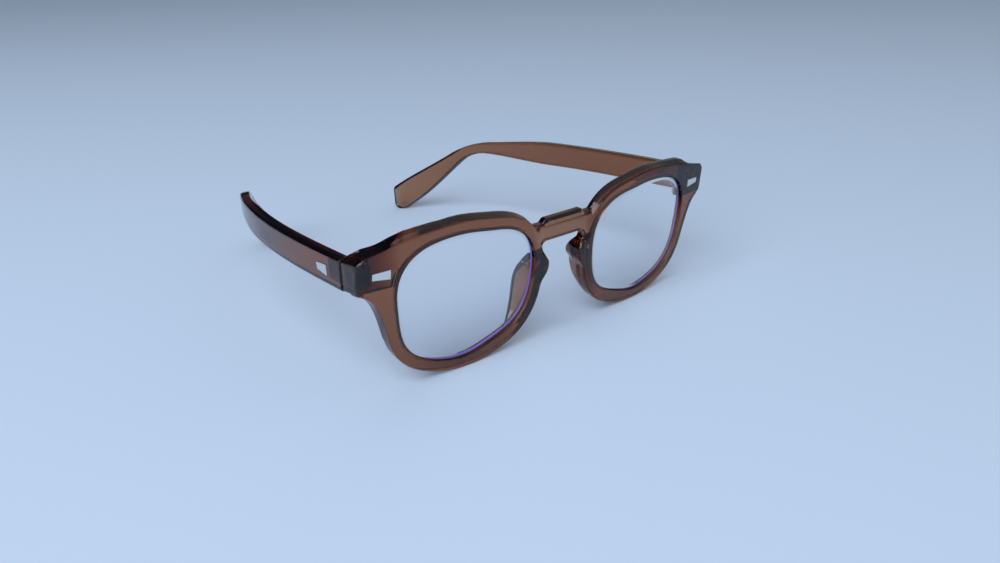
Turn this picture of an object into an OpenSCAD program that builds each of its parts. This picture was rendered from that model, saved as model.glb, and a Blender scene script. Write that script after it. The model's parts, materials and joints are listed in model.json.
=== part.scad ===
// Blue light glasses with a one-piece moulded front, keyhole bridge and two folding temples.
// +X is the wearer's left, -Y is the way the wearer looks, +Z is up.
// The glasses stand open on a table: z = 0 is the table, under the rims and the temple tips.

/* [Front] */
// Width across the two end pieces
front_w = 143.6; // [141.6:0.5:146.6]
// Thickness of the rims from front to back
rim_depth = 4; // [3.6:0.1:4.4]
// Radius of the front's gentle wrap round the face, seen from above
wrap_r = 685; // [500:5:1200]
// Lean of the front: the top stands further forward
front_tilt = 4.8; // [2:0.1:6]
// Width of the rim's face at the sides
rim_face = 4.1; // [3.6:0.1:4.4]
// Extra rim width over the lens, taken off below it
rim_brow = 0.5; // [0:0.1:0.8]

/* [Lenses] */
// Distance between the two lens openings over the nose
lens_gap = 25.4; // [24.8:0.1:26.2]
// Mean radius of a lens opening
lens_mean_r = 22.2; // [21.8:0.1:22.6]
// How much wider than tall the opening is, as a change of radius
lens_stretch = 2.3; // [2:0.1:2.6]
// Height of the opening's centre above the lowest rim
lens_rise = 24; // [23.8:0.1:24.4]
// Radius of the lens's front curve
lens_curve_r = 160; // [130:5:300]
// Thickness of a lens
lens_thick = 2; // [1.6:0.1:2.2]

/* [Bridge and nose] */
// Height of the bridge's top edge above the lowest rim
bridge_top = 40.2; // [39.6:0.1:40.8]
// Height of the keyhole's flat top
keyhole_top = 33.2; // [32.6:0.1:33.8]
// Half the gap where the nose opening is narrowest
neck_half = 6.5; // [6.2:0.1:7]
// How far the nose pads reach back from the front surface
pad_reach = 9.4; // [8.8:0.1:9.8]

/* [Temples] */
// Thickness of a temple
temple_thick = 4; // [3.6:0.1:4.2]
// Height of a temple at the hinge
temple_h = 9.3; // [9:0.1:9.6]
// Height of a temple at the narrow ear bend
ear_h = 4.4; // [4:0.1:5]
// Height of the widened tip
tip_h = 10.2; // [9.6:0.1:10.6]
// Length of the straight part, from the hinge seam to the ear bend
straight_len = 95; // [92:0.5:98]
// Slope of the hooked end below the horizontal
hook_drop = 41; // [38:0.5:43]
// How far a temple bows inwards in its first 100 mm
temple_bow = 15; // [12:0.1:16]

/* [Hinges] */
// Radius of a hinge knuckle
knuckle_r = 1.4; // [1.3:0.05:1.5]
// Radius of the hinge screw's shank
screw_r = 0.65; // [0.6:0.05:0.7]
// Height of one knuckle
knuckle_h = 2; // [1.8:0.1:2.1]

/* [Hidden] */

running_gap = 0.05;
// the squared corners leave the opening's nose side a little flatter than its largest radius
squaring_loss = 0.2;
lens_x = lens_gap / 2 + lens_mean_r + lens_stretch - squaring_loss;
end_x = front_w / 2;
// the seam between the end piece and the temple, and the hinge axis just behind it
seam_y = 8.8;
seam_gap = 0.1;
hinge_x = end_x - 5;
hinge_y = seam_y + 0.9;
hinge_z = 36.5;
stack_h = 3 * knuckle_h;
swing_r = knuckle_r + 0.35;

function smooth(from, to, s) =
    let (t = max(0, min(1, (s - from) / (to - from)))) t * t * (3 - 2 * t);

// --- lens opening: a rounded square in polar form round the lens centre ---
// the small terms raise the brow, flare the outer top corner and square the corners
brow = 0.6;
flare = 0.5;
squareness = 0.6;
crown = 0.4;
function lens_radius(a) = lens_mean_r + lens_stretch * cos(2 * a) + brow * sin(3 * a)
    - flare * cos(3 * a) - squareness * cos(4 * a) - crown * cos(6 * a);
function lens_radius_slope(a) = -2 * lens_stretch * sin(2 * a) + 3 * brow * cos(3 * a)
    + 3 * flare * sin(3 * a) + 4 * squareness * sin(4 * a) + 6 * crown * sin(6 * a);
// the rim's face is wider over the lens and at its lower nasal corner
nasal_toe = 1.1;
toe_angle = 240;
function rim_width(a) = rim_face + rim_brow * sin(a) + nasal_toe * pow(max(0, cos(a - toe_angle)), 10);
// a point on the opening's outline, moved outwards square to it by grow
function lens_point(a, grow) =
    let (r = lens_radius(a), d = lens_radius_slope(a), n = sqrt(r * r + d * d))
    [r * cos(a) + grow * (r * cos(a) + d * sin(a)) / n,
     r * sin(a) + grow * (r * sin(a) - d * cos(a)) / n];

outline_step = 5;
function outline(grow) = [for (a = [0:outline_step:359]) lens_point(a, grow)];
rim_outline = [for (a = [0:outline_step:359]) lens_point(a, rim_width(a))];
rim_low = lens_rise + min([for (p = rim_outline) p[1]]);

// how far back the wrapped front surface lies at distance x from the middle
function wrap_back(x) = x * x / (2 * wrap_r);
lens_turn = asin(lens_x / wrap_r);
groove_back = rim_depth / 2;

// lift that puts the lowest rim on the table, and shift that centres the depth on y = 0
front_lift = -rim_low * cos(front_tilt) - wrap_back(lens_x) * sin(front_tilt);
front_reach = (lens_rise + lens_mean_r) * sin(front_tilt) - 0.4;

// --- temple centre line: straight, an arc over the ear, then the straight hook ---
temple_drop = 2.4;
ear_r = 26;
temple_mid_z = 36.5;
hook_turn = hook_drop - temple_drop;
ear_len = ear_r * hook_turn * PI / 180;
straight_end = [seam_y + straight_len * cos(temple_drop), temple_mid_z - straight_len * sin(temple_drop)];
ear_centre = straight_end - ear_r * [sin(temple_drop), cos(temple_drop)];
ear_end = ear_centre + ear_r * [sin(hook_drop), cos(hook_drop)];
// the tip is cut off at a slant with rounded corners, and its lower corner stands on the table
tip_corner_r = 2.4;
tip_slant = 4.5;
low_corner_len = (ear_end[1] - tip_corner_r - (tip_h / 2 - tip_corner_r) * cos(hook_drop)) / sin(hook_drop);
hook_len = low_corner_len - tip_slant;
temple_len = straight_len + ear_len + hook_len;
function hook_point(len, up) =
    ear_end + len * [cos(hook_drop), -sin(hook_drop)] + up * [sin(hook_drop), cos(hook_drop)];
low_corner = hook_point(low_corner_len, tip_corner_r - tip_h / 2);
top_corner = hook_point(hook_len, tip_h / 2 - tip_corner_r);
temple_back = top_corner[0] + tip_corner_r;
shift_y = (temple_back - front_reach) / 2;

function heading(s) = temple_drop + hook_turn * max(0, min(1, (s - straight_len) / ear_len));
function mid_point(s) =
    s <= straight_len ? [seam_y + s * cos(temple_drop), temple_mid_z - s * sin(temple_drop)]
    : s <= straight_len + ear_len ? ear_centre + ear_r * [sin(heading(s)), cos(heading(s))]
    : ear_end + (s - straight_len - ear_len) * [cos(hook_drop), -sin(hook_drop)];
// height of the temple at distance s along it: even, then narrow over the ear, then the wide tip
taper_from = 64;
function temple_height(s) = temple_h
    - (temple_h - ear_h) * smooth(taper_from, straight_len + ear_len / 2, s)
    + (tip_h - ear_h) * smooth(straight_len + ear_len / 2, temple_len, s);
function side_point(s, side) =
    mid_point(s) + side * temple_height(s) / 2 * [sin(heading(s)), cos(heading(s))];
temple_step = temple_len / 36;
temple_side = concat(
    [for (i = [0:35]) side_point(i * temple_step, 1)],
    [for (b = [0:15:90]) top_corner + tip_corner_r * [sin(hook_drop + b), cos(hook_drop + b)]],
    [for (b = [90:15:180]) low_corner + tip_corner_r * [sin(hook_drop + b), cos(hook_drop + b)]],
    [for (i = [35:-1:0]) side_point(i * temple_step, -1)]);
// the outer face bows inwards, more and more towards the tip
bow_power = 2.9;
// how far its front end stands out beyond the end piece
temple_proud = 0.3;
function temple_x(y) = end_x + temple_proud - temple_bow * pow(max(0, y - seam_y) / 100, bow_power);

// --- places of the silver plaques ---
plaque_len = 5.4;
plaque_thick = 0.7;
plaque_proud = 0.15;
plaque_pin_r = 0.45;
plaque_pin_len = 1.6;
front_plaque_x = end_x - 6.8;
front_plaque_z = 37.2;
temple_plaque_y = 19;
temple_plaque_z = 36;

// ---------------------------------------------------------------- placing

// the whole pair, with its depth centred
module placed() translate([0, -shift_y, 0]) children();

// from the front's own plane (upright, front surface touching y = 0) to its lean and height
module leaned() translate([0, 0, front_lift]) rotate([front_tilt, 0, 0]) children();

module both_sides() {
    children();
    mirror([1, 0, 0]) children();
}

// an outline in x and z, drawn from y = near to y = far
module upright(near, far) translate([0, far, 0]) rotate([90, 0, 0]) linear_extrude(far - near) children();

// ---------------------------------------------------------------- front

module rim_shape() translate([lens_x, lens_rise]) polygon(rim_outline);

// top edge of the brow: a shallow arch that steps down to the lower, gently sloping end piece
brow_top = 47.6;
brow_mid_x = 42;
brow_arch = 0.0037;
end_top = 42.1;
end_slope = 0.25;
step_from = end_x - 12.8;
step_to = end_x - 8.8;
function brow_edge(x) =
    let (step = smooth(step_from, step_to, x))
    (1 - step) * (brow_top - brow_arch * pow(x - brow_mid_x, 2)) + step * (end_top + end_slope * (end_x - x));

function bezier(a, b, c, d, t) =
    pow(1 - t, 3) * a + 3 * pow(1 - t, 2) * t * b + 3 * (1 - t) * t * t * c + pow(t, 3) * d;

// the end piece, from the brow round the outer corner and down into the side of the rim
module end_shape() polygon(concat(
    [for (x = [brow_mid_x:1.5:end_x - 1]) [x, brow_edge(x)]],
    [[end_x - 0.2, end_top], [end_x, end_top - 0.6], [end_x, 33.1]],
    [for (t = [0:0.1:1])
        bezier([end_x - 0.4, 32.3], [end_x - 5.8, 30.6], [end_x - 6.5, 25], [end_x - 8.9, 16], t)],
    [[end_x - 12, 18], [brow_mid_x, brow_top - 1]]));

module bridge_shape() {
    // the bar over the nose, with the keyhole's rounded top corners
    bar_half = 13;
    raised_half = 7.6;
    end_dip = 1.3;
    keyhole_half = 8.4;
    corner_r = 3;
    corner_x = keyhole_half - corner_r;
    difference() {
        translate([-bar_half, keyhole_top - corner_r])
            square([2 * bar_half, bridge_top - end_dip - keyhole_top + corner_r]);
        translate([-corner_x, keyhole_top - 2 * corner_r]) square([2 * corner_x, 2 * corner_r]);
        both_sides() translate([corner_x, keyhole_top - corner_r]) circle(corner_r, $fn = 32);
    }
    // the bar's raised middle
    polygon([[-raised_half - end_dip, bridge_top - end_dip], [-raised_half, bridge_top],
             [raised_half, bridge_top], [raised_half + end_dip, bridge_top - end_dip]]);
    // the two swellings that pinch the nose opening below the keyhole
    pinch_r = 5.4;
    pinch_z = 25.5;
    both_sides() translate([neck_half + pinch_r, pinch_z]) circle(pinch_r, $fn = 48);
}

// everything behind the wrapped front surface, back to the given depth
module wrapped(depth) intersection() {
    translate([0, wrap_r, -1]) cylinder(h = 50, r = wrap_r, $fn = 360);
    translate([-80, -1, -1]) cube([160, depth + 20, 50]);
    children();
}

module rims() difference() {
    wrapped(rim_depth) upright(-1, 14) {
        both_sides() rim_shape();
        both_sides() end_shape();
        bridge_shape();
    }
    translate([0, wrap_r, -2]) cylinder(h = 52, r = wrap_r - rim_depth, $fn = 360);
}

// the thick corner that reaches back to the hinge seam, dropping to the temple's height on the way
module end_block() {
    block_w = 7.6;
    block_low = 32.8;
    drop = -0.22;
    dropping = [[1, 0, 0, 0], [0, 1, 0, 0], [0, drop, 1, 0]];
    intersection() {
        leaned() wrapped(20) multmatrix(dropping) upright(-1, 20) intersection() {
            end_shape();
            translate([end_x - block_w, block_low]) square([block_w, 20]);
        }
        translate([0, -20, 0]) cube([100, 20 + seam_y, 60]);
    }
}

// a nose pad: a tall disc's edge standing behind the rim, splayed with the side of the nose
module nose_pad() {
    pad_r = 12.5;
    pad_w = 3;
    pad_lean = 25;
    pad_splay = 14;
    pad_x = 12.2;
    pad_z = 17.2;
    translate([pad_x, 0, pad_z]) rotate([0, -pad_lean, -pad_splay]) scale([1, 1, 1.1])
        translate([-pad_w / 2, pad_reach - pad_r, 0]) intersection() {
            rotate([0, 90, 0]) cylinder(h = pad_w, r = pad_r, $fn = 64);
            translate([-1, pad_r - pad_reach + rim_depth / 2, -pad_r])
                cube([pad_w + 2, pad_r, 2 * pad_r]);
        }
}

// from a lens's own axis to its place in the wrapped front
module at_lens() translate([lens_x, wrap_back(lens_x), lens_rise]) rotate([0, 0, lens_turn]) children();

// a slice of spherical lens with the given outline growth, thickness and extra gap each side
module lens_slice(grow, thick, extra) {
    front_y = groove_back - lens_thick / 2;
    at_lens() intersection() {
        upright(-6, 12) polygon(outline(grow));
        difference() {
            dome(lens_curve_r, front_y + (lens_thick - thick) / 2 - extra);
            dome(lens_curve_r - thick - 2 * extra, front_y + (lens_thick + thick) / 2 + extra);
        }
    }
}

module dome(r, front_y) translate([0, front_y + r - lens_sag, 0]) sphere(r, $fn = 240);

// depth of the lens's bulge at its edge, which keeps the edge in the groove
lens_sag = lens_curve_r - sqrt(lens_curve_r * lens_curve_r - lens_mean_r * lens_mean_r);
bevel_grow = 0.55;
bevel_thick = 0.9;

module lens_part() color([0.9, 0.92, 1, 0.4]) placed() leaned() {
    lens_slice(-running_gap, lens_thick, 0);
    lens_slice(bevel_grow, bevel_thick, 0);
}

// the opening goes through the rim only: a nose pad may stand behind the lens
module lens_seat() {
    at_lens() upright(-6, rim_depth + 0.6) polygon(outline(0));
    lens_slice(bevel_grow + running_gap, bevel_thick, running_gap);
}

module front_frame() color([0.42, 0.28, 0.2, 0.8]) placed() difference() {
    union() {
        leaned() {
            rims();
            both_sides() nose_pad();
        }
        both_sides() end_block();
    }
    leaned() both_sides() {
        lens_seat();
        front_plaque_shape(running_gap);
    }
    both_sides() front_hinge_room();
}

// ---------------------------------------------------------------- plaques

// a trapezoid plate in x and z, taller at the wide_side end, with two pins behind it
module plaque(tall, short, gap) {
    upright(-plaque_proud - gap, plaque_thick - plaque_proud + gap) polygon([
        [-plaque_len / 2 - gap, -tall / 2 - gap], [plaque_len / 2 + gap, -short / 2 - gap],
        [plaque_len / 2 + gap, short / 2 + gap], [-plaque_len / 2 - gap, tall / 2 + gap]]);
    for (x = [-plaque_len / 4, plaque_len / 4])
        translate([x, plaque_pin_len + 0.2 + gap, 0]) rotate([90, 0, 0])
            cylinder(h = plaque_pin_len, r = plaque_pin_r + gap, $fn = 24);
}

module front_plaque_shape(gap) {
    turn = asin(front_plaque_x / wrap_r);
    translate([front_plaque_x, wrap_back(front_plaque_x), front_plaque_z]) rotate([0, -3, turn])
        plaque(2.7, 1.8, gap);
}

module front_plaque() color("silver") placed() leaned() front_plaque_shape(0);

module temple_plaque_shape(gap) {
    outer_x = temple_x(temple_plaque_y);
    translate([outer_x, temple_plaque_y, temple_plaque_z]) rotate([0, 0, 90]) rotate([2, 0, 0])
        plaque(3.3, 2.1, gap);
}

module temple_plaque() color("silver") placed() temple_plaque_shape(0);

// ---------------------------------------------------------------- hinges

leaf_thick = 1.2;
leaf_h = stack_h;
leaf_w = 4.8;
prong_len = 3;
prong_w = 1.6;
prong_h = 1.2;
head_r = 1.1;
head_h = 0.7;

module at_hinge(z) translate([hinge_x, hinge_y, hinge_z + z]) children();

// number 0 is the lowest knuckle; a small gap keeps neighbours from rubbing
module knuckle(number) at_hinge((number - 1.5) * knuckle_h + running_gap / 2)
    cylinder(h = knuckle_h - running_gap, r = knuckle_r, $fn = 48);

// the clear space round the whole stack and the screw's head
module knuckle_room() at_hinge(-leaf_h / 2 - 0.3) cylinder(h = leaf_h + 2, r = swing_r, $fn = 48);

module screw_bore() at_hinge(-stack_h) cylinder(h = 2 * stack_h, r = screw_r + running_gap, $fn = 48);

// plate against the seam, two prongs into the end piece, and the outer two knuckles
module front_leaf_plate(gap) {
    translate([hinge_x - leaf_w / 3 - gap, seam_y - leaf_thick - gap, hinge_z - leaf_h / 2 - gap])
        cube([leaf_w + 2 * gap, leaf_thick + gap, leaf_h + 2 * gap]);
    for (side = [-1, 1])
        translate([hinge_x + 0.6 - gap, seam_y - leaf_thick - prong_len - gap,
                   hinge_z + side * (leaf_h - prong_h) / 2 - prong_h / 2 - gap])
            cube([prong_w + 2 * gap, prong_len + 0.1, prong_h + 2 * gap]);
}

module front_hinge() color("dimgray") placed() difference() {
    union() {
        front_leaf_plate(0);
        for (number = [0, 2]) {
            knuckle(number);
            at_hinge((number - 1.5) * knuckle_h + running_gap / 2)
                translate([-knuckle_r, seam_y - hinge_y - 0.1, 0])
                    cube([2 * knuckle_r, hinge_y - seam_y + 0.1, knuckle_h - running_gap]);
        }
    }
    screw_bore();
    // room for the temple's knuckle to turn
    at_hinge(-knuckle_h / 2) cylinder(h = knuckle_h, r = knuckle_r + 0.15, $fn = 48);
}

module front_hinge_room() {
    front_leaf_plate(0.02);
    knuckle_room();
}

// plate sunk into the temple's inner face, and the middle knuckle with its arm
temple_inner_x = temple_x(seam_y) - temple_thick;
temple_leaf_len = 6.2;
temple_leaf_start = hinge_y + 1;
module temple_leaf_plate(gap) {
    translate([temple_inner_x - gap, temple_leaf_start - gap, hinge_z - leaf_h / 2 - gap])
        cube([leaf_thick + 2 * gap, temple_leaf_len + 2 * gap, leaf_h + 2 * gap]);
}

module temple_hinge() color("dimgray") placed() difference() {
    union() {
        temple_leaf_plate(0);
        knuckle(1);
        at_hinge(-knuckle_h / 2 + running_gap / 2)
            cube([temple_inner_x - hinge_x + leaf_thick, knuckle_r, knuckle_h - running_gap]);
    }
    screw_bore();
}

module temple_hinge_room() {
    temple_leaf_plate(0.02);
    knuckle_room();
    // the slot for the middle knuckle's arm
    at_hinge(-knuckle_h / 2) cube([temple_inner_x - hinge_x + leaf_thick + 0.02, knuckle_r + 0.1, knuckle_h]);
}

module hinge_screw() color("silver") placed() {
    at_hinge(-stack_h / 2) cylinder(h = stack_h + 0.1, r = screw_r, $fn = 48);
    at_hinge(stack_h / 2 + running_gap) difference() {
        cylinder(h = head_h, r = head_r, $fn = 48);
        translate([-head_r, -0.15, head_h - 0.3]) cube([2 * head_r, 0.3, 1]);
    }
}

// ---------------------------------------------------------------- temples

module temple_body() color([0.45, 0.3, 0.24, 0.8]) placed() difference() {
    intersection() {
        translate([20, 0, 0]) rotate([90, 0, 90]) linear_extrude(70) polygon(temple_side);
        linear_extrude(60) polygon(concat(
            [for (y = [seam_y + seam_gap:6:temple_back + 6]) [temple_x(y), y]],
            [for (y = [temple_back + 6:-6:seam_y + seam_gap]) [temple_x(y) - temple_thick, y]]));
    }
    temple_hinge_room();
    temple_plaque_shape(running_gap);
}

front_frame();
lens_part();  // lens_left
mirror([1, 0, 0]) lens_part();  // lens_right
front_plaque();  // front_plaque_left
mirror([1, 0, 0]) front_plaque();  // front_plaque_right
front_hinge();  // front_hinge_left
mirror([1, 0, 0]) front_hinge();  // front_hinge_right
hinge_screw();  // hinge_screw_left
mirror([1, 0, 0]) hinge_screw();  // hinge_screw_right
temple_body();  // temple_left
mirror([1, 0, 0]) temple_body();  // temple_right
temple_plaque();  // temple_plaque_left
mirror([1, 0, 0]) temple_plaque();  // temple_plaque_right
temple_hinge();  // temple_hinge_left
mirror([1, 0, 0]) temple_hinge();  // temple_hinge_right
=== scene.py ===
# Blue light glasses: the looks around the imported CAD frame.
# Shapes are worked out in millimetres in the glasses' own frame: x to the wearer's left, y back from the
# front surface, z up from the table. to_row() then moves them into the row frame, in metres.
# The front is shaped in its own plane: u across, v up, d back from its surface. lean() gives it its lean.
# Solid shapes are fields: numbers on a grid, negative inside, about the distance to the surface near it.
import json
import math

import bpy
import numpy as np
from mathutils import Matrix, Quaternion, Vector


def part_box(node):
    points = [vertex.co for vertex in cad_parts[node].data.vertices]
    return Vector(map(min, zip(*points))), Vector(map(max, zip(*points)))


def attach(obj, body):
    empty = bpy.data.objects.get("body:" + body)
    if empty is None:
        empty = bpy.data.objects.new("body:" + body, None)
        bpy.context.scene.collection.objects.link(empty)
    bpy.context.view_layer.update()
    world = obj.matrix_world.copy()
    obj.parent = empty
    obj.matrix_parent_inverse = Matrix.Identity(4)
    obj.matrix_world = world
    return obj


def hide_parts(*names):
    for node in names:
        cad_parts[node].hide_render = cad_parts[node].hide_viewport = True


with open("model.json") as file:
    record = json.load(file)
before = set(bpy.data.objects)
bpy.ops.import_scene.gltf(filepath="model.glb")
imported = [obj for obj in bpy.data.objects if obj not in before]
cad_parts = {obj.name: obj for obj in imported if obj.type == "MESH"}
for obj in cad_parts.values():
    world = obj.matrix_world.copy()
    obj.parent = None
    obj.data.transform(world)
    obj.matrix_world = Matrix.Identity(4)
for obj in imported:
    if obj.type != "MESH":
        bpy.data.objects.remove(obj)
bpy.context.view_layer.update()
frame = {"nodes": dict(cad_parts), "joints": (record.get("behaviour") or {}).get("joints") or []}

MM = 0.001
joints = {joint["name"]: joint for joint in frame["joints"]}
left_hinge = joints["left_temple_fold"]["pos_m"]

# ---------------------------------------------------------------- driving sizes, as in the CAD

END_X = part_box("front_frame")[1].x / MM

# lens opening: its middle, its mean radius, and the waves round it that make its outline
LENS_X, LENS_RISE = 37.0, 24.0
LENS_MEAN_R, LENS_STRETCH = 22.2, 2.3
BROW, FLARE, SQUARENESS, CROWN = 0.6, 0.5, 0.6, 0.4
LENS_CURVE_R, LENS_THICK = 160.0, 2.0

# front: the curve round the face, the lean over the table, and the rims
WRAP_R = 685.0
FRONT_TILT, FRONT_LIFT = math.radians(4.8), 0.066
RIM_FACE, RIM_BROW, RIM_DEPTH = 4.1, 0.5, 4.0
NASAL_TOE, TOE_ANGLE = 1.1, math.radians(240)
BRIDGE_TOP, KEYHOLE_TOP, NECK_HALF = 40.2, 33.2, 6.5
PAD_REACH = 9.4
BROW_MID_X = 42.0
BROW_TOP, BROW_ARCH = 47.6, 0.0037
RIDGE_TOP, RIDGE_SLOPE, RIDGE_ARCH = 46.85, 0.045, 0.0036
BROW_END_X = 57.0
BLOCK_LOW, BLOCK_DROP = 32.8, 0.22

# hinge and seam
SEAM_Y, SEAM_GAP, SCREW_BEHIND_SEAM = 8.8, 0.1, 0.9
HINGE_X = left_hinge[0] / MM
HINGE_Y = SEAM_Y + SCREW_BEHIND_SEAM
HINGE_Z = left_hinge[2] / MM
SHIFT_Y = HINGE_Y - left_hinge[1] / MM
KNUCKLE_ROOM_R, KNUCKLE_ROOM_RISE, KNUCKLE_ROOM_HALF = 1.75, 0.7, 4.0

# temples
TEMPLE_THICK, TEMPLE_H, EAR_H, TIP_H = 4.0, 9.3, 4.4, 10.2
STRAIGHT_LEN, EAR_R, TAPER_FROM = 95.0, 26.0, 64.0
TEMPLE_DROP, HOOK_DROP = math.radians(2.4), math.radians(41)
TEMPLE_MID_Z, TEMPLE_PROUD = 36.5, 0.3
TEMPLE_BOW, BOW_POWER = 15.0, 2.9
TIP_CORNER_R, TIP_SLANT, TIP_TRIM = 2.4, 4.5, 0.01

GRID = 0.3


def to_row(points):
    """Millimetres in the glasses' frame to metres in the row frame."""
    moved = np.array(points, float)
    moved[:, 1] -= SHIFT_Y
    return moved * MM


def lean(points):
    """From the front's own upright plane to its lean over the table."""
    x, y, z = points.T
    c, s = math.cos(FRONT_TILT), math.sin(FRONT_TILT)
    return np.stack([x, y * c - z * s, y * s + z * c + FRONT_LIFT], 1)


# ---------------------------------------------------------------- camera, floor, light

def add_camera():
    """In front of the glasses, on the wearer's right, looking down at them."""
    azimuth, elevation, roll = math.radians(-39.86), math.radians(23.28), math.radians(-0.87)
    data = bpy.data.cameras.new("camera")
    data.lens = 28.34
    data.sensor_width = 36.0
    data.clip_start = 0.01
    camera = bpy.data.objects.new("camera", data)
    bpy.context.scene.collection.objects.link(camera)
    camera.location = (-0.1623, -0.1647 - SHIFT_Y * MM, 0.1166)
    back = Vector((math.sin(azimuth) * math.cos(elevation),
                   -math.cos(azimuth) * math.cos(elevation), math.sin(elevation)))
    camera.rotation_euler = (back.to_track_quat("Z", "Y") @ Quaternion((0, 0, 1), roll)).to_euler()
    bpy.context.scene.camera = camera


def shader_material(name, settings):
    """A new material whose Principled shader has these values, and the shader itself."""
    material = bpy.data.materials.new(name)
    material.use_nodes = True
    shader = material.node_tree.nodes["Principled BSDF"]
    for socket, value in settings.items():
        shader.inputs[socket].default_value = value
    return material, shader


def add_floor():
    half = 3.0
    corners = [(-half, -half, 0), (half, -half, 0), (half, half, 0), (-half, half, 0)]
    mesh = bpy.data.meshes.new("floor")
    mesh.from_pydata(corners, [], [(0, 1, 2, 3)])
    floor = bpy.data.objects.new("floor", mesh)
    bpy.context.scene.collection.objects.link(floor)
    paper, _ = shader_material("floor_paper", {"Base Color": (0.67, 0.79, 0.95, 1), "Roughness": 0.75})
    mesh.materials.append(paper)


def add_area_light(name, location, target, size, power, colour):
    data = bpy.data.lights.new(name, "AREA")
    data.shape = "RECTANGLE"
    data.size, data.size_y = size
    data.energy = power
    data.color = colour
    light = bpy.data.objects.new(name, data)
    bpy.context.scene.collection.objects.link(light)
    light.location = location
    light.rotation_euler = (Vector(location) - Vector(target)).to_track_quat("Z", "Y").to_euler()


def add_world():
    """A dim room with a lighter ceiling and one dark wall, behind the glasses on the wearer's right."""
    dark, grey, ceiling = (0.02, 0.024, 0.04, 1), (0.34, 0.36, 0.36, 1), (0.4, 0.46, 0.56, 1)
    world = bpy.data.worlds.new("room")
    bpy.context.scene.world = world
    world.use_nodes = True
    nodes, links = world.node_tree.nodes, world.node_tree.links
    coordinates = nodes.new("ShaderNodeTexCoord")

    def lit(axis, starts, full, colour):
        """A Mix node that turns from its first colour to this one towards an axis."""
        along = nodes.new("ShaderNodeVectorMath")
        along.operation = "DOT_PRODUCT"
        along.inputs[1].default_value = axis
        links.new(coordinates.outputs["Generated"], along.inputs[0])
        amount = nodes.new("ShaderNodeMapRange")
        amount.interpolation_type = "SMOOTHSTEP"
        amount.inputs["From Min"].default_value = starts
        amount.inputs["From Max"].default_value = full
        links.new(along.outputs["Value"], amount.inputs["Value"])
        mixed = nodes.new("ShaderNodeMixRGB")
        mixed.inputs["Color2"].default_value = colour
        links.new(amount.outputs["Result"], mixed.inputs["Fac"])
        return mixed

    walls = lit((0.6, -0.8, 0), -0.42, -0.2, grey)
    walls.inputs["Color1"].default_value = dark
    room = lit((0, 0, 1), 0.74, 0.92, ceiling)
    links.new(walls.outputs["Color"], room.inputs["Color1"])
    links.new(room.outputs["Color"], nodes["Background"].inputs["Color"])


# ---------------------------------------------------------------- surface from a field

CORNERS = np.array([[n & 1, (n >> 1) & 1, (n >> 2) & 1] for n in range(8)])
# the twelve pairs of a cell's corners that differ in one coordinate
EDGES = [(a, b) for a in range(8) for b in range(a + 1, 8) if np.abs(CORNERS[a] - CORNERS[b]).sum() == 1]


def sample(field, points):
    """Trilinear samples of a field, or of a field of vectors, at points given in grid steps."""
    top = np.array(field.shape[:3]) - 2
    cell = np.clip(np.floor(points).astype(int), 0, top)
    t = points - cell
    total = 0
    for corner in CORNERS:
        i, j, k = (cell + corner).T
        weight = np.prod(np.where(corner, t, 1 - t), axis=1)
        value = field[i, j, k]
        total = total + value * (weight if value.ndim == 1 else weight[:, None])
    return total


def crossed_cells(field):
    """The cells that the zero surface passes through, and the shape of the whole grid of cells."""
    inside = field < 0
    nx, ny, nz = np.array(field.shape) - 1
    count = sum(inside[i:i + nx, j:j + ny, k:k + nz].astype(np.int8) for i, j, k in CORNERS)
    return np.argwhere((count > 0) & (count < 8)), count.shape


def edge_means(field, cells):
    """One point in each cell: the mean of the places where the surface crosses the cell's edges."""
    values = np.stack([field[tuple((cells + corner).T)] for corner in CORNERS], 1)
    total = np.zeros((len(cells), 3))
    hits = np.zeros(len(cells))
    for a, b in EDGES:
        value_a, value_b = values[:, a], values[:, b]
        crosses = (value_a < 0) != (value_b < 0)
        t = np.where(crosses, value_a / np.where(crosses, value_a - value_b, 1), 0)
        total += (CORNERS[a] + t[:, None] * (CORNERS[b] - CORNERS[a])) * crosses[:, None]
        hits += crosses
    return cells + total / hits[:, None]


def pulled_to_surface(field, vertices):
    """The vertices after two short Newton steps along the field's slope."""
    flattest, longest = 0.05, 0.4
    gradient = np.stack(np.gradient(field), -1)
    for _ in range(2):
        value = sample(field, vertices)
        slope = sample(gradient, vertices)
        step = value[:, None] * slope / np.maximum((slope ** 2).sum(1), flattest)[:, None]
        vertices = vertices - np.clip(step, -longest, longest)
    return vertices


def surface_nets(field):
    """Vertices (in grid steps) and quads of the zero surface of a field that is negative inside."""
    cells, shape = crossed_cells(field)
    numbers = np.full(shape, -1, np.int32)
    numbers[tuple(cells.T)] = np.arange(len(cells))
    vertices = pulled_to_surface(field, edge_means(field, cells))

    inside = field < 0
    units = np.eye(3, dtype=int)
    quads = []
    for axis in range(3):
        u, v = (axis + 1) % 3, (axis + 2) % 3
        here = inside[tuple(slice(0, n - e) for n, e in zip(inside.shape, units[axis]))]
        there = inside[tuple(slice(e, None) for e in units[axis])]
        edges = np.argwhere(here != there)
        edges = edges[(edges[:, u] > 0) & (edges[:, v] > 0)]
        edges = edges[(edges[:, u] < shape[u]) & (edges[:, v] < shape[v])]
        around = (units[u] + units[v], units[v], 0 * units[u], units[u])
        quad = np.stack([numbers[tuple((edges - offset).T)] for offset in around], 1)
        outward = inside[tuple(edges.T)]
        quad[outward] = quad[outward][:, ::-1]
        quads.append(quad)
    return vertices, np.concatenate(quads)


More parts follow.
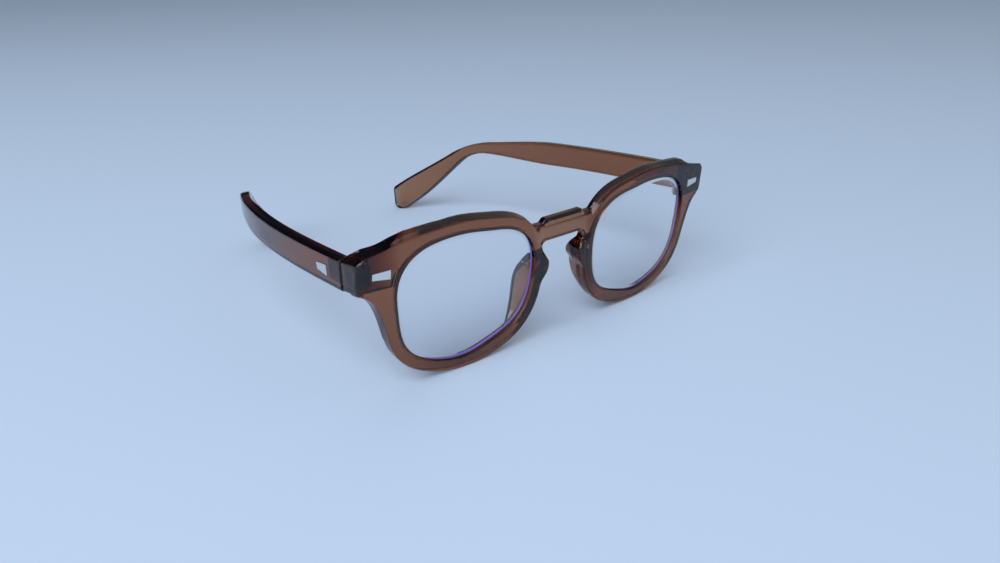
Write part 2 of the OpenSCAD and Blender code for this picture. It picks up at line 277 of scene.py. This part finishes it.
def smooth_mesh(name, vertices, quads):
    """A new smooth-shaded object from vertices and quads."""
    mesh = bpy.data.meshes.new(name)
    mesh.vertices.add(len(vertices))
    mesh.vertices.foreach_set("co", np.asarray(vertices, np.float32).ravel())
    mesh.loops.add(quads.size)
    mesh.loops.foreach_set("vertex_index", quads.astype(np.int32).ravel())
    mesh.polygons.add(len(quads))
    mesh.polygons.foreach_set("loop_start", np.arange(0, quads.size, quads.shape[1], dtype=np.int32))
    mesh.polygons.foreach_set("use_smooth", np.ones(len(quads), bool))
    mesh.update(calc_edges=True)
    mesh.validate()
    piece = bpy.data.objects.new(name, mesh)
    bpy.context.scene.collection.objects.link(piece)
    return piece


# ---------------------------------------------------------------- field pieces

def round_max(a, b, r):
    """Intersection of two fields with a round edge of radius r."""
    corner = np.hypot(np.maximum(a + r, 0), np.maximum(b + r, 0)) - r
    return np.where((a > -r) & (b > -r), corner, np.maximum(a, b))


def slanted_max(a, b, r, cosine):
    """Intersection of two flat fields with a round edge, given the cosine between their normals."""
    p, q = a + r, b + r
    arc = np.sqrt(np.maximum(p * p + q * q - 2 * p * q * cosine, 0) / (1 - cosine ** 2)) - r
    return np.where((p > cosine * q) & (q > cosine * p), arc, np.maximum(a, b))


def blend_min(a, b, r):
    """Union of two fields with a fillet of about radius r."""
    t = np.maximum(r - np.abs(a - b), 0) / r
    return np.minimum(a, b) - t * t * r / 4


def soft_max(a, b, r):
    """Intersection of two fields with a softened edge of about radius r."""
    return -blend_min(-a, -b, r)


def segment_distance(x, y, a, b):
    """Distance to the straight piece from a to b; a and b may be one pair or a pair for each point."""
    ab = b - a
    t = np.clip(((x - a[..., 0]) * ab[..., 0] + (y - a[..., 1]) * ab[..., 1])
                / np.maximum((ab ** 2).sum(-1), 1e-12), 0, 1)
    return np.hypot(x - a[..., 0] - t * ab[..., 0], y - a[..., 1] - t * ab[..., 1])


def polygon_field(x, y, corners):
    """Signed distance to a closed polygon, negative inside."""
    corners = np.array(corners, float)
    distance = np.full(x.shape, 1e9)
    inside = np.zeros(x.shape, bool)
    for a, b in zip(corners, np.roll(corners, -1, 0)):
        distance = np.minimum(distance, segment_distance(x, y, a, b))
        crosses = (a[1] > y) != (b[1] > y)
        with np.errstate(divide="ignore", invalid="ignore"):
            x_at = (b[0] - a[0]) * (y - a[1]) / (b[1] - a[1]) + a[0]
        inside ^= crosses & (x < x_at)
    return np.where(inside, -distance, distance)


def box_field(x, y, half_x, half_y):
    """Signed distance to a rectangle round the origin."""
    dx, dy = np.abs(x) - half_x, np.abs(y) - half_y
    return np.hypot(np.maximum(dx, 0), np.maximum(dy, 0)) + np.minimum(np.maximum(dx, dy), 0)


def smoothstep(low, high, value):
    """Rises smoothly from 0 at low to 1 at high, or falls where high is below low."""
    t = np.clip((value - low) / (high - low), 0, 1)
    return t * t * (3 - 2 * t)


def bezier(a, b, c, d, steps):
    """Points along a cubic curve from a to d."""
    a, b, c, d = (np.array(point, float) for point in (a, b, c, d))
    t = np.linspace(0, 1, steps)[:, None]
    return (1 - t) ** 3 * a + 3 * (1 - t) ** 2 * t * b + 3 * (1 - t) * t * t * c + t ** 3 * d


def knuckle_room(x, y, z):
    """The upright slot round the hinge's screw, where its knuckles turn."""
    across = np.hypot(x - HINGE_X, y - HINGE_Y) - KNUCKLE_ROOM_R
    return np.maximum(across, np.abs(z - HINGE_Z - KNUCKLE_ROOM_RISE) - KNUCKLE_ROOM_HALF)


# ---------------------------------------------------------------- lens outline

def lens_radius(a):
    """The opening's radius in the direction a."""
    return (LENS_MEAN_R + LENS_STRETCH * np.cos(2 * a) + BROW * np.sin(3 * a) - FLARE * np.cos(3 * a)
            - SQUARENESS * np.cos(4 * a) - CROWN * np.cos(6 * a))


def lens_outline(grow, steps):
    """The opening's outline round its own centre, moved outwards square to it by grow."""
    a = np.linspace(0, 2 * math.pi, steps, endpoint=False)
    r = lens_radius(a)
    slope = (-2 * LENS_STRETCH * np.sin(2 * a) + 3 * BROW * np.cos(3 * a) + 3 * FLARE * np.sin(3 * a)
             + 4 * SQUARENESS * np.sin(4 * a) + 6 * CROWN * np.sin(6 * a))
    length = np.hypot(r, slope)
    return np.stack([r * np.cos(a) + grow * (r * np.cos(a) + slope * np.sin(a)) / length,
                     r * np.sin(a) + grow * (r * np.sin(a) - slope * np.cos(a)) / length], 1)


def opening_field(u, v):
    """Signed distance in the front's plane to the lens opening, negative inside it."""
    outline_steps, batch = 480, 8192
    x, y = (u - LENS_X).ravel(), (v - LENS_RISE).ravel()
    outline = lens_outline(0, outline_steps)
    before, after = np.roll(outline, 1, 0), np.roll(outline, -1, 0)
    distance = np.empty(x.size)
    for start in range(0, x.size, batch):
        part = slice(start, start + batch)
        px, py = x[part], y[part]
        nearest = np.argmin((px[:, None] - outline[:, 0]) ** 2 + (py[:, None] - outline[:, 1]) ** 2, 1)
        distance[part] = np.minimum(segment_distance(px, py, before[nearest], outline[nearest]),
                                    segment_distance(px, py, outline[nearest], after[nearest]))
    inside = np.hypot(x, y) < lens_radius(np.arctan2(y, x))
    return np.where(inside, -distance, distance).reshape(u.shape)


def wrap_back(x):
    """How far back the front curves at x from its middle."""
    return x * x / (2 * WRAP_R)


def groove_depth(u, v):
    """Depth of the lens's middle behind the front surface, which follows the lens's curve."""
    r2 = (u - LENS_X) ** 2 + (v - LENS_RISE) ** 2
    return RIM_DEPTH / 2 + (r2 - LENS_MEAN_R ** 2) / (2 * LENS_CURVE_R) - (u - LENS_X) ** 2 / (2 * WRAP_R)


# ---------------------------------------------------------------- front frame

def brow_edge(x):
    """Height of the brow's rear top edge over the lens."""
    return BROW_TOP - BROW_ARCH * (x - BROW_MID_X) ** 2


def ridge(x):
    """Height of the front face's own top edge, from over the lens to the end piece's outer corner."""
    past = x - BROW_MID_X
    return RIDGE_TOP - RIDGE_SLOPE * past - RIDGE_ARCH * past ** 2


def rim_outline(u, v, opening):
    """The rim round the lens: wider at the brow, with a toe low on the nose side."""
    angle = np.arctan2(v - LENS_RISE, u - LENS_X)
    toe = NASAL_TOE * np.maximum(np.cos(angle - TOE_ANGLE), 0) ** 10
    return opening - (RIM_FACE + RIM_BROW * np.sin(angle) + toe)


def end_outline():
    """The end piece, from the brow round the outer corner and down into the side of the rim."""
    top = np.arange(55.0, END_X - 1.1, 1.0)
    corner = [(END_X - 0.5, 41.9), (END_X - 0.1, 41.5), (END_X, 41.0), (END_X, 33.3), (END_X - 0.12, 32.7)]
    side = bezier((END_X - 0.4, 32.3), (END_X - 5.8, 30.6), (END_X - 6.5, 25), (END_X - 8.9, 16), 14)
    inside_rim = [(END_X - 12, 18), (55, 40)]
    return np.concatenate([np.stack([top, ridge(top)], 1), corner, side, inside_rim])


def bridge_recess(u, v):
    """How far the bridge's front lies behind the rims: facets slope back from the rims along a V."""
    point_u, point_v, deep = 11.2, 31.0, 0.9
    upper_lean, upper_high, lower_lean = 3.0, 6.5, 1.03
    facet_wide, widens_over, sharpest = 2.0, 4, 1.0
    fades_from, fades_to = 25.5, 27.5
    rise = v - point_v
    start = point_u + np.where(rise > 0, upper_lean * np.clip(rise / upper_high, 0, 1), lower_lean * rise)
    end = np.minimum(point_u - facet_wide * np.clip(rise / widens_over, 0, 1), start - sharpest)
    return deep * np.clip((start - u) / (start - end), 0, 1) * smoothstep(fades_from, fades_to, v)


def bridge_field(u, v, rim):
    """Joins the bar over the nose and the swelling under the keyhole to the rim's outline."""
    raised_half, end_dip, bar_half = 7.6, 1.3, 12
    low_top = BRIDGE_TOP - end_dip
    bar = box_field(u, v - (low_top + KEYHOLE_TOP) / 2, bar_half, (low_top - KEYHOLE_TOP) / 2)
    saddle = polygon_field(u, v, [
        (-raised_half, low_top - 1), (-raised_half, BRIDGE_TOP), (raised_half, BRIDGE_TOP),
        (raised_half + end_dip, low_top), (raised_half + end_dip, low_top - 1)])
    bar = np.minimum(bar, saddle)
    pinch_r, pinch_z, pinch_fillet = 5.4, 25.5, 1.5
    pinch = np.hypot(u - NECK_HALF - pinch_r, v - pinch_z) - pinch_r
    top_fillet, keyhole_fillet = 0.5, 2.4
    fillet = top_fillet + (keyhole_fillet - top_fillet) * smoothstep(37, 35, v)
    return blend_min(blend_min(rim, bar, fillet), pinch, pinch_fillet)


def brow_field(u, v):
    """The brow over the lens, drawn to its rear top edge; it ends where the end piece begins."""
    across = np.arange(BROW_MID_X, BROW_END_X + 0.1, 1.0)
    return polygon_field(u, v, np.concatenate([
        np.stack([across, brow_edge(across)], 1), [(BROW_END_X, 40), (BROW_MID_X, BROW_TOP - 1)]]))


def brow_bevel(u, v, outline, front):
    """The sloped strip between the front face and the top wall, steeper over the bridge and near the end."""
    # it changes over the bridge, which ends about 8 mm from the middle, and before the end piece
    width, slope = 0.8, 0.28
    bridge_width, bridge_slope = 0.4, 0.9
    end_width, end_slope = 0.5, 0.5
    width = width + bridge_width * smoothstep(12, 8, u) + end_width * smoothstep(44, 55, u)
    width = width * smoothstep(33, 38, v)
    slope = slope + bridge_slope * smoothstep(13, 8, u) + end_slope * smoothstep(44, BROW_END_X, u)
    width, slope = width[:, :, None], slope[:, :, None]
    return (outline + width + slope * front) / np.sqrt(1 + slope ** 2)


def moved_up(field, rows):
    """A field in the front's plane moved up by a number of grid rows, given for each column and depth."""
    count = field.shape[1]
    place = np.arange(count)[None, :, None] - rows[:, None, :]
    low = np.clip(np.floor(place), 0, count - 2).astype(int)
    part = np.clip(place - low, 0, 1)
    column = np.arange(len(field))[:, None, None]
    return field[column, low] * (1 - part) + field[column, low + 1] * part


def end_field(u, v, d):
    """The end piece with its top wall, which rises to the brow near the lens and falls towards the hinge."""
    brow_rise, rise_depth = 1.35, 1.7
    end_piece = polygon_field(u[:, :, 0], v[:, :, 0], end_outline())
    across, deep = u[:, 0, :], np.maximum(d[:, 0, :], 0)
    rise = brow_rise * smoothstep(64.5, 57.5, across) * np.minimum(deep / rise_depth, 1)
    fall = BLOCK_DROP * deep * smoothstep(57, 63, across)
    return moved_up(end_piece, (rise - fall) / GRID)


def pad_field(outline, u, v, d):
    """A nose pad: a rounded flange that carries the rim's nose side on behind it, leaning with the nose."""
    root_d, root_r, edge_r = 1.0, 0.5, 1.4
    mid_v, narrowing, above, below = 19.5, 5.4, 11, 13.5
    pad_lean, edge_lean = 0.27, 0.9
    low_half_thick, high_half_thick = 1.8, 2.15
    side_u = 30
    reach = (PAD_REACH - narrowing * (np.maximum(v - mid_v, 0) / above) ** 2
             - narrowing * (np.maximum(mid_v - v, 0) / below) ** 2.2)
    half_thick = low_half_thick + (high_half_thick - low_half_thick) * smoothstep(12, 22, v)
    wall = outline + pad_lean * np.maximum(d - RIM_DEPTH, 0)
    slab = round_max(np.abs(wall + half_thick) - half_thick, edge_lean * (d - reach), edge_r)
    return np.maximum(round_max(slab, root_d - d, root_r), u - side_u)


def rims_field(d, outline, front, corner_r, opening, pad):
    """The rims, bridge and brow as one plate, with the pads behind it and the lens openings cut."""
    back_r, pad_r, opening_r = 0.25, 0.2, 0.15
    flare_wide, flare_deep = 0.2, 1.5
    behind_lens = RIM_DEPTH - 0.1
    flare = flare_wide * np.clip(1 - d / flare_deep, 0, 1)
    plate = round_max(round_max(outline, front, corner_r), d - RIM_DEPTH, back_r)
    pad = round_max(pad, np.minimum(-opening, behind_lens - d), pad_r)
    rims = np.minimum(plate, pad)
    return np.where(d < RIM_DEPTH, round_max(rims, flare - opening, opening_r), rims)


def block_field(u, v, d, ends, front, corner_r, opening, y):
    """The end piece's block behind the rim: it sweeps back from the lens's side to the seam."""
    back_r, low_r, lens_r, seam_r = 0.5, 0.5, 0.4, 0.2
    sweep, sweep_starts, sweep_full, sweep_lean = 5.5, 57, 66.5, 0.9
    lens_wall = 0.3
    sweep_back = RIM_DEPTH + sweep * smoothstep(sweep_starts, sweep_full, u)
    block = round_max(ends, front, corner_r)
    block = round_max(block, sweep_lean * (d - sweep_back), back_r)
    block = round_max(block, BLOCK_LOW - v - BLOCK_DROP * d, low_r)
    block = round_max(block, lens_wall - opening, lens_r)
    return round_max(block, y - SEAM_Y, seam_r)


def front_field(u, v, d):
    """Field of the whole front moulding, for u from the middle outwards."""
    edge_r, end_corner_r, strip_r = 0.3, 1.2, 0.12
    groove_out, groove_half, groove_r, room_r = 0.87, 0.52, 0.1, 0.15
    flat_u, flat_v = u[:, :, 0], v[:, :, 0]
    flat_opening = opening_field(flat_u, flat_v)
    nose_side = bridge_field(flat_u, flat_v, rim_outline(flat_u, flat_v, flat_opening))
    arch = np.minimum(nose_side, brow_field(flat_u, flat_v))[:, :, None]
    opening = flat_opening[:, :, None]

    front = bridge_recess(flat_u, flat_v)[:, :, None] - d
    arch = soft_max(arch, brow_bevel(flat_u, flat_v, arch, front), strip_r)
    ends = end_field(u, v, d)
    corner_r = edge_r + (end_corner_r - edge_r) * smoothstep(END_X - 2.5, END_X - 1, u)
    pad = pad_field(nose_side[:, :, None], u, v, d)
    rims = rims_field(d, np.minimum(arch, ends), front, corner_r, opening, pad)

    back = d + wrap_back(u)
    y = back * math.cos(FRONT_TILT) - v * math.sin(FRONT_TILT)
    z = back * math.sin(FRONT_TILT) + v * math.cos(FRONT_TILT) + FRONT_LIFT
    body = np.minimum(rims, block_field(u, v, d, ends, front, corner_r, opening, y))

    groove = np.maximum(opening - groove_out, np.abs(d - groove_depth(u, v)) - groove_half)
    body = soft_max(body, -groove, groove_r)
    return soft_max(body, -knuckle_room(u, y, z), room_r)


def build_front():
    top_v, back_d = 49, 13.5
    half = np.arange(0, END_X + 3 * GRID, GRID)
    v = np.arange(-4 * GRID, top_v + 2 * GRID, GRID)
    d = np.arange(-3 * GRID, back_d, GRID)
    field = front_field(*np.meshgrid(half, v, d, indexing="ij"))
    field = np.concatenate([field[:0:-1], field]) / GRID
    vertices, quads = surface_nets(field)
    across = (vertices[:, 0] - (len(half) - 1)) * GRID
    up = vertices[:, 1] * GRID + v[0]
    back = vertices[:, 2] * GRID + d[0] + wrap_back(across)
    piece = smooth_mesh("front_moulding", to_row(lean(np.stack([across, back, up], 1))), quads)
    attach(piece, "front")
    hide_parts("front_frame")
    return piece


# ---------------------------------------------------------------- temples

def direction(angle):
    """Square to a stretch that drops at that angle, as (y, z)."""
    return np.stack([np.sin(angle), np.cos(angle)], -1)


def forward(angle):
    """Along a stretch that drops at that angle, as (y, z)."""
    return np.stack([np.cos(angle), -np.sin(angle)], -1)


HOOK_TURN = HOOK_DROP - TEMPLE_DROP
EAR_LEN = EAR_R * HOOK_TURN
STRAIGHT_START = np.array([SEAM_Y, TEMPLE_MID_Z])
STRAIGHT_END = STRAIGHT_START + STRAIGHT_LEN * forward(TEMPLE_DROP)
EAR_CENTRE = STRAIGHT_END - EAR_R * direction(TEMPLE_DROP)
EAR_END = EAR_CENTRE + EAR_R * direction(HOOK_DROP)
# the hook is as long as it takes for the tip's lower corner to rest on the table
CORNER_UP = TIP_H / 2 - TIP_CORNER_R
LOW_CORNER_LEN = (EAR_END[1] - TIP_CORNER_R - CORNER_UP * math.cos(HOOK_DROP)) / math.sin(HOOK_DROP)
HOOK_LEN = LOW_CORNER_LEN - TIP_SLANT
TEMPLE_LEN = STRAIGHT_LEN + EAR_LEN + HOOK_LEN


def temple_place(s, n):
    """Point (y, z) at distance s along the middle line and n above it, square to it."""
    angle = TEMPLE_DROP + HOOK_TURN * np.clip((s - STRAIGHT_LEN) / EAR_LEN, 0, 1)
    on_line = STRAIGHT_START + s[..., None] * forward(TEMPLE_DROP)
    on_arc = EAR_CENTRE + EAR_R * direction(angle)
    on_hook = EAR_END + (s - STRAIGHT_LEN - EAR_LEN)[..., None] * forward(HOOK_DROP)
    middle = np.where((s <= STRAIGHT_LEN)[..., None], on_line,
                      np.where((s <= STRAIGHT_LEN + EAR_LEN)[..., None], on_arc, on_hook))
    return middle + n[..., None] * direction(angle)


def temple_x(y):
    """The outer face's distance from the middle plane: a gentle bow inwards."""
    return END_X + TEMPLE_PROUD - TEMPLE_BOW * (np.maximum(y - SEAM_Y, 0) / 100) ** BOW_POWER


def temple_side(along, above):
    """The temple seen from its side: it narrows to the ear and widens to the tip, whose end is slanted."""
    ear_mid = STRAIGHT_LEN + EAR_LEN / 2
    height = (TEMPLE_H - (TEMPLE_H - EAR_H) * smoothstep(TAPER_FROM, ear_mid, along)
              + (TIP_H - EAR_H) * smoothstep(ear_mid, TEMPLE_LEN, along))
    slant = TIP_SLANT / (2 * CORNER_UP)
    past_end = along - TEMPLE_LEN + TIP_TRIM - slant * (CORNER_UP - above)
    end_cut = past_end / math.hypot(1, slant) - TIP_CORNER_R
    cosine = np.sign(above) * slant / math.hypot(1, slant)
    return slanted_max(np.abs(above) - height / 2, end_cut, TIP_CORNER_R, cosine)


def build_temple(side, sign):
    long_edge_r, seam_r, room_r = 0.9, 0.25, 0.15
    s = np.arange(-2 * GRID, TEMPLE_LEN + TIP_SLANT + TIP_CORNER_R + 3 * GRID, GRID)
    n = np.arange(-TIP_H / 2 - 3 * GRID, TIP_H / 2 + 4 * GRID, GRID)
    t = np.arange(-TEMPLE_THICK / 2 - 3 * GRID, TEMPLE_THICK / 2 + 4 * GRID, GRID)
    along, above, out = np.meshgrid(s, n, t, indexing="ij")
    place = temple_place(along, above)
    y, z = place[..., 0], place[..., 1]
    x = temple_x(y) - TEMPLE_THICK / 2 + out
    field = round_max(temple_side(along, above), np.abs(out) - TEMPLE_THICK / 2, long_edge_r)
    field = round_max(field, SEAM_Y + SEAM_GAP - y, seam_r)
    field = soft_max(field, -knuckle_room(x, y, z), room_r) / GRID

    vertices, quads = surface_nets(field)
    along, above, out = (vertices * GRID + np.array([s[0], n[0], t[0]])).T
    place = temple_place(along, above)
    x = temple_x(place[:, 0]) - TEMPLE_THICK / 2 + out
    points = np.stack([sign * x, place[:, 0], place[:, 1]], 1)
    if sign > 0:
        quads = quads[:, ::-1]
    piece = smooth_mesh("temple_arm_" + side, to_row(points), quads)
    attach(piece, side + "_temple_arm")
    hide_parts("temple_" + side)
    return piece


# ---------------------------------------------------------------- lenses

LENS_STEPS = 180
FACE_RINGS = 16
# how far the faces, the coated ring (which carries the painted violet glint), the edge's shoulders and its
# bevel reach past the lens opening
FACE_OUT, COAT_OUT, SHOULDER_OUT, BEVEL_OUT = -0.08, -0.65, -0.03, 0.75
# the edge's rings: how far out, and how deep behind the front face
LENS_EDGE = ((SHOULDER_OUT, 0.35), (SHOULDER_OUT, 0.62), (BEVEL_OUT, 0.92),
             (BEVEL_OUT, 1.08), (SHOULDER_OUT, 1.38), (SHOULDER_OUT, 1.65))


def lens_face(points, radius, y):
    """Depth of a face of that radius, which is at y on the lens's mean radius of the front face."""
    sag = LENS_CURVE_R - math.sqrt(LENS_CURVE_R ** 2 - LENS_MEAN_R ** 2)
    return y + radius - sag - np.sqrt(radius * radius - (points ** 2).sum(1))


def lens_points():
    """The lens's points, ring by ring: out over the front face, round the edge and in over the back face."""
    front_y = RIM_DEPTH / 2 - LENS_THICK / 2
    face_edge, coated = lens_outline(FACE_OUT, LENS_STEPS), lens_outline(COAT_OUT, LENS_STEPS)
    fractions = np.linspace(0.02, 1, FACE_RINGS)
    rings = []
    for fraction in fractions:
        ring = face_edge * fraction
        rings.append((ring, lens_face(ring, LENS_CURVE_R, front_y)))
    for grow, deep in LENS_EDGE:
        ring = lens_outline(grow, LENS_STEPS)
        rings.append((ring, lens_face(ring, LENS_CURVE_R, front_y) + deep))
    for ring in [face_edge, coated] + [coated * fraction for fraction in fractions[-2::-1]]:
        rings.append((ring, lens_face(ring, LENS_CURVE_R - LENS_THICK, front_y + LENS_THICK)))
    return np.concatenate([np.stack([ring[:, 0], y, ring[:, 1]], 1) for ring, y in rings])


def lens_faces(ring_count, flip):
    """Quads between the rings, then one cap in the middle of each face."""
    ring = np.arange(LENS_STEPS)
    following = np.roll(ring, -1)
    quads = []
    for start in LENS_STEPS * np.arange(ring_count - 1):
        a, b = ring + start, following + start
        quads.append(np.stack([a, b, b + LENS_STEPS, a + LENS_STEPS], 1))
    last = LENS_STEPS * (ring_count - 1)
    faces = np.concatenate(quads).tolist() + [ring[::-1].tolist(), (ring + last).tolist()]
    return [face[::-1] for face in faces] if flip else faces


def build_lens(side, sign):
    """A curved lens with a bevelled edge, in three materials: glass, ground edge and a coated border with a
    painted violet glint.
    """
    points = lens_points()
    turn = math.asin(LENS_X / WRAP_R)
    x, y, z = points.T
    placed = np.stack([x * math.cos(turn) - y * math.sin(turn) + LENS_X,
                       x * math.sin(turn) + y * math.cos(turn) + wrap_back(LENS_X), z + LENS_RISE], 1)
    placed = lean(placed) * np.array([sign, 1, 1])
    mesh = bpy.data.meshes.new("lens_" + side)
    mesh.from_pydata(to_row(placed).tolist(), [], lens_faces(len(points) // LENS_STEPS, sign > 0))
    edge_first = (FACE_RINGS - 1) * LENS_STEPS
    coat_first = edge_first + (len(LENS_EDGE) + 1) * LENS_STEPS
    coat_last = coat_first + LENS_STEPS
    for polygon in mesh.polygons:
        polygon.use_smooth = True
        if edge_first <= polygon.index < coat_first:
            polygon.material_index = 1
        # the coated ring takes the painted violet glint, a glowing surface in place of the coating's
        # reflection
        elif coat_first <= polygon.index < coat_last:
            polygon.material_index = 2
    mesh.update()
    piece = bpy.data.objects.new("clear_lens_" + side, mesh)
    bpy.context.scene.collection.objects.link(piece)
    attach(piece, "front")
    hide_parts("lens_" + side)
    return piece


# ---------------------------------------------------------------- materials

def clear_plastic(name, density, absorbed):
    """Clear tinted plastic: polished glass-like surface with the tint in its depth."""
    material, _ = shader_material(name, {"Base Color": (1, 1, 1, 1), "Roughness": 0.02, "IOR": 1.49,
                                         "Transmission Weight": 1.0})
    nodes, links = material.node_tree.nodes, material.node_tree.links
    tint = nodes.new("ShaderNodeVolumeAbsorption")
    tint.inputs["Color"].default_value = tuple(1 - part for part in absorbed) + (1,)
    tint.inputs["Density"].default_value = density
    links.new(tint.outputs[0], nodes["Material Output"].inputs["Volume"])
    return material


def lens_glass():
    """Clear lens material, with a trace of blue."""
    return shader_material("lens_clear", {"Base Color": (0.97, 0.98, 1, 1), "Roughness": 0.0, "IOR": 1.5,
                                          "Transmission Weight": 1.0})[0]


def lens_edge():
    """The ground edge that sits in the rim's groove."""
    return shader_material("lens_edge", {"Base Color": (0.09, 0.06, 0.12, 1), "Roughness": 0.6})[0]


def painted_coating_glint():
    """Painted reflection: the blue-light coating's violet glint along the lens's border, a violet surface
    that also glows faintly to stand in for reflected light.
    """
    return shader_material("painted_coating_glint", {"Base Color": (0.2, 0.17, 0.65, 1), "Roughness": 0.3,
                                            "Emission Color": (0.36, 0.3, 0.95, 1),
                                            "Emission Strength": 0.25})[0]


def shaded_hinge_steel():
    """Satin metal whose colour is darkened with painted shade, as dark as it looks inside the plastic."""
    return shader_material("shaded_hinge_steel", {"Base Color": (0.32, 0.28, 0.26, 1), "Metallic": 1.0,
                                           "Roughness": 0.4})[0]


def hatched_silver():
    """Bright metal with fine diagonal engraved lines."""
    material, shader = shader_material("plaque_silver", {"Metallic": 1.0, "Roughness": 0.35})
    nodes, links = material.node_tree.nodes, material.node_tree.links
    coordinates = nodes.new("ShaderNodeTexCoord")
    lines = nodes.new("ShaderNodeTexWave")
    lines.bands_direction = "DIAGONAL"
    lines.inputs["Scale"].default_value = 1000.0
    links.new(coordinates.outputs["Object"], lines.inputs["Vector"])
    tone = nodes.new("ShaderNodeValToRGB")
    tone.color_ramp.elements[0].color = (0.42, 0.46, 0.46, 1)
    tone.color_ramp.elements[1].color = (0.9, 0.89, 0.86, 1)
    tone.color_ramp.elements[1].position = 0.45
    links.new(lines.outputs["Fac"], tone.inputs[0])
    links.new(tone.outputs["Color"], shader.inputs["Base Color"])
    relief = nodes.new("ShaderNodeBump")
    relief.inputs["Strength"].default_value = 0.4
    relief.inputs["Distance"].default_value = 0.05 * MM
    links.new(lines.outputs["Fac"], relief.inputs["Height"])
    links.new(relief.outputs["Normal"], shader.inputs["Normal"])
    return material


def use(piece, *materials):
    """Puts materials on a new piece, or a better one in a CAD node's slot."""
    if piece.data.materials:
        piece.data.materials[0] = materials[0]
    else:
        for material in materials:
            piece.data.materials.append(material)


# ---------------------------------------------------------------- the scene

add_camera()
add_floor()
add_world()
add_area_light("window", location=(-1.1, -0.6, 1.0), target=(0, 0, 0), size=(1.5, 1.5), power=24,
               colour=(0.9, 0.97, 1.08))

plastic = clear_plastic("brown_plastic", density=700, absorbed=(0.336, 0.686, 0.986))
# coating_glint is painted reflection: a violet surface that glows a little
glass, edge, coating_glint = lens_glass(), lens_edge(), painted_coating_glint()
silver, shaded_steel = hatched_silver(), shaded_hinge_steel()

use(build_front(), plastic)
for side, sign in (("left", 1), ("right", -1)):
    use(build_temple(side, sign), plastic)
    use(build_lens(side, sign), glass, edge, coating_glint)
    for node in ("front_plaque_", "temple_plaque_"):
        use(frame["nodes"][node + side], silver)
    # the hinge metal's darker colour is painted shade from sitting inside the plastic
    for node in ("front_hinge_", "temple_hinge_", "hinge_screw_"):
        use(frame["nodes"][node + side], shaded_steel)

bpy.context.scene.view_settings.view_transform = "Standard"
